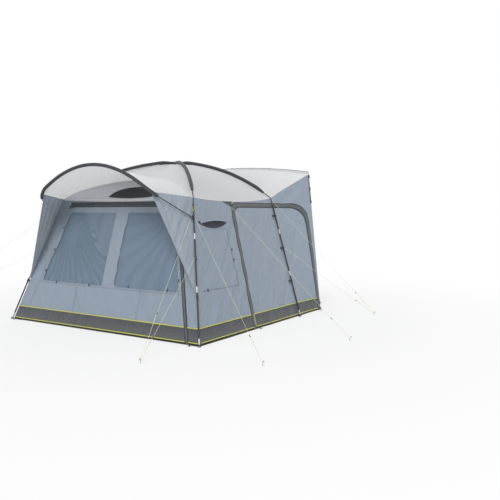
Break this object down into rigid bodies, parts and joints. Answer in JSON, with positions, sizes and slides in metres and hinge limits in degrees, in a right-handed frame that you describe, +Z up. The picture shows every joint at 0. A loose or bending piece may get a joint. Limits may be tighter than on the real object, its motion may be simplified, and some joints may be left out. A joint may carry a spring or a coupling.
{
  "type": "drive-away awning",
  "caption": "Drive-away awning: crossed roof poles, hinged porch hoop with canopy, fold-down front panel, side doors, vent flaps, guy lines, and a beaded strip for a van's rail.",
  "frame": {"origin": "on the ground, in the middle of the awning's length and depth without its guy lines and pegs", "axes": "+X along the van, to the right seen from the front; +Y from the front wall to the van; +Z up"},
  "size_m": [5.2954, 4.1525, 2.318],
  "materials": {
    "roof_pole_over": "glass fibre rod, black",
    "roof_pole_under": "glass fibre rod, black",
    "porch_hoop": "glass fibre rod, black",
    "hoop_sleeve": "woven, dark grey",
    "sleeve_front_right": "woven, dark grey",
    "sleeve_front_left": "woven, dark grey",
    "sleeve_rear_right": "woven, dark grey",
    "sleeve_rear_left": "woven, dark grey",
    "front_leg_right": "black powder coat",
    "front_leg_left": "black powder coat",
    "rear_leg_right": "black powder coat",
    "rear_leg_left": "black powder coat",
    "hub_right": "moulded, black",
    "hub_left": "moulded, black",
    "rail_strip": "moulded, black",
    "roof_right": "matt coated polyester, light grey",
    "roof_left": "matt coated polyester, light grey",
    "roof_front": "matt coated polyester, light grey",
    "tunnel_roof": "matt coated polyester, light grey",
    "gable": "matt coated polyester, light grey",
    "canopy": "matt coated polyester, light grey",
    "gable_vent": "fine net, black",
    "wing_right": "matt coated polyester, blue grey",
    "wing_left": "matt coated polyester, blue grey",
    "front_surround": "matt coated polyester, blue grey",
    "front_panel": "matt coated polyester, blue grey",
    "front_window_right": "clear window film",
    "front_window_left": "clear window film",
    "front_curtain_right": "thin cloth, blue grey",
    "front_curtain_left": "thin cloth, blue grey",
    "front_panel_skirt": "coated mud wall cloth, dark grey",
    "front_zip": "zip cover tape, charcoal",
    "side_wall_right": "matt coated polyester, blue grey",
    "side_blind_right": "matt coated polyester, blue grey",
    "door_right": "matt coated polyester, blue grey",
    "vent_flap_right": "matt coated polyester, blue grey",
    "side_skirt_right": "coated mud wall cloth, dark grey",
    "door_skirt_right": "coated mud wall cloth, dark grey",
    "door_zip_right": "zip cover tape, charcoal",
    "side_wall_left": "matt coated polyester, blue grey",
    "side_blind_left": "matt coated polyester, blue grey",
    "door_left": "matt coated polyester, blue grey",
    "vent_flap_left": "matt coated polyester, blue grey",
    "side_skirt_left": "coated mud wall cloth, dark grey",
    "door_skirt_left": "coated mud wall cloth, dark grey",
    "door_zip_left": "zip cover tape, charcoal",
    "guy_front_upper": "braided line, yellow green",
    "guy_front_lower": "braided line, yellow green",
    "guy_hub": "braided line, yellow green",
    "guy_eave": "braided line, yellow green",
    "guy_rear_upper": "braided line, yellow green",
    "guy_rear_lower": "braided line, yellow green",
    "guy_left_upper": "braided line, yellow green",
    "guy_left_lower": "braided line, yellow green",
    "guy_peg_front": "plated wire",
    "guy_peg_hub": "plated wire",
    "guy_peg_eave": "plated wire",
    "guy_peg_rear": "plated wire"
  },
  "bodies": {
    "awning": {"roof_pole_over": "roof_pole_over", "roof_pole_under": "roof_pole_under", "sleeve_front_right": "sleeve_front_right", "sleeve_front_left": "sleeve_front_left", "sleeve_rear_right": "sleeve_rear_right", "sleeve_rear_left": "sleeve_rear_left", "front_leg_right": "front_leg_right", "front_leg_left": "front_leg_left", "rear_leg_right": "rear_leg_right", "rear_leg_left": "rear_leg_left", "hub_right": "hub_right", "hub_left": "hub_left", "rail_strip": "rail_strip", "roof_right": "roof_right", "roof_left": "roof_left", "roof_front": "roof_front", "tunnel_roof": "tunnel_roof", "gable": "gable", "canopy": "canopy", "gable_vent": "gable_vent", "wing_right": "wing_right", "wing_left": "wing_left", "front_surround": "front_surround", "side_wall_right": "side_wall_right", "side_blind_right": "side_blind_right", "side_skirt_right": "side_skirt_right", "door_zip_right": "door_zip_right", "side_wall_left": "side_wall_left", "side_blind_left": "side_blind_left", "side_skirt_left": "side_skirt_left", "door_zip_left": "door_zip_left", "guy_front_upper": "guy_front_upper", "guy_front_lower": "guy_front_lower", "guy_hub": "guy_hub", "guy_eave": "guy_eave", "guy_rear_upper": "guy_rear_upper", "guy_rear_lower": "guy_rear_lower", "guy_left_upper": "guy_left_upper", "guy_left_lower": "guy_left_lower", "guy_peg_front": "guy_peg_front", "guy_peg_hub": "guy_peg_hub", "guy_peg_eave": "guy_peg_eave", "guy_peg_rear": "guy_peg_rear"},
    "porch": {"porch_hoop": "porch_hoop", "hoop_sleeve": "hoop_sleeve"},
    "front_panel": {"front_panel": "front_panel", "front_panel_skirt": "front_panel_skirt", "front_window_right": "front_window_right", "front_window_left": "front_window_left", "front_curtain_right": "front_curtain_right", "front_curtain_left": "front_curtain_left", "front_zip": "front_zip"},
    "right_door": {"door_right": "door_right", "door_skirt_right": "door_skirt_right"},
    "left_door": {"door_left": "door_left", "door_skirt_left": "door_skirt_left"},
    "right_flap": {"vent_flap_right": "vent_flap_right"},
    "left_flap": {"vent_flap_left": "vent_flap_left"}
  },
  "joints": [
    {"name": "porch_fold", "type": "hinge", "parent": "awning", "child": "porch", "pos_m": [0, -1.16202, 1.498], "axis": [-1, 0, 0], "range_deg": [0, 55], "deforming": ["canopy", "wing_right", "wing_left"]},
    {"name": "front_panel_fold", "type": "hinge", "parent": "awning", "child": "front_panel", "pos_m": [0, -1.56525, 0.004], "axis": [1, 0, 0], "range_deg": [0, 104]},
    {"name": "right_door_swing", "type": "hinge", "parent": "awning", "child": "right_door", "pos_m": [1.526, 1.58475, 1.655], "axis": [0, 0, -1], "range_deg": [0, 45]},
    {"name": "left_door_swing", "type": "hinge", "parent": "awning", "child": "left_door", "pos_m": [-1.526, 1.58475, 1.655], "axis": [0, 0, 1], "range_deg": [0, 45]},
    {"name": "right_flap_prop", "type": "hinge", "parent": "awning", "child": "right_flap", "pos_m": [1.28204, -0.71025, 1.47], "axis": [0, -1, 0], "range_deg": [0, 34]},
    {"name": "left_flap_prop", "type": "hinge", "parent": "awning", "child": "left_flap", "pos_m": [-1.28204, -0.71025, 1.47], "axis": [0, 1, 0], "range_deg": [0, 34]}
  ]
}
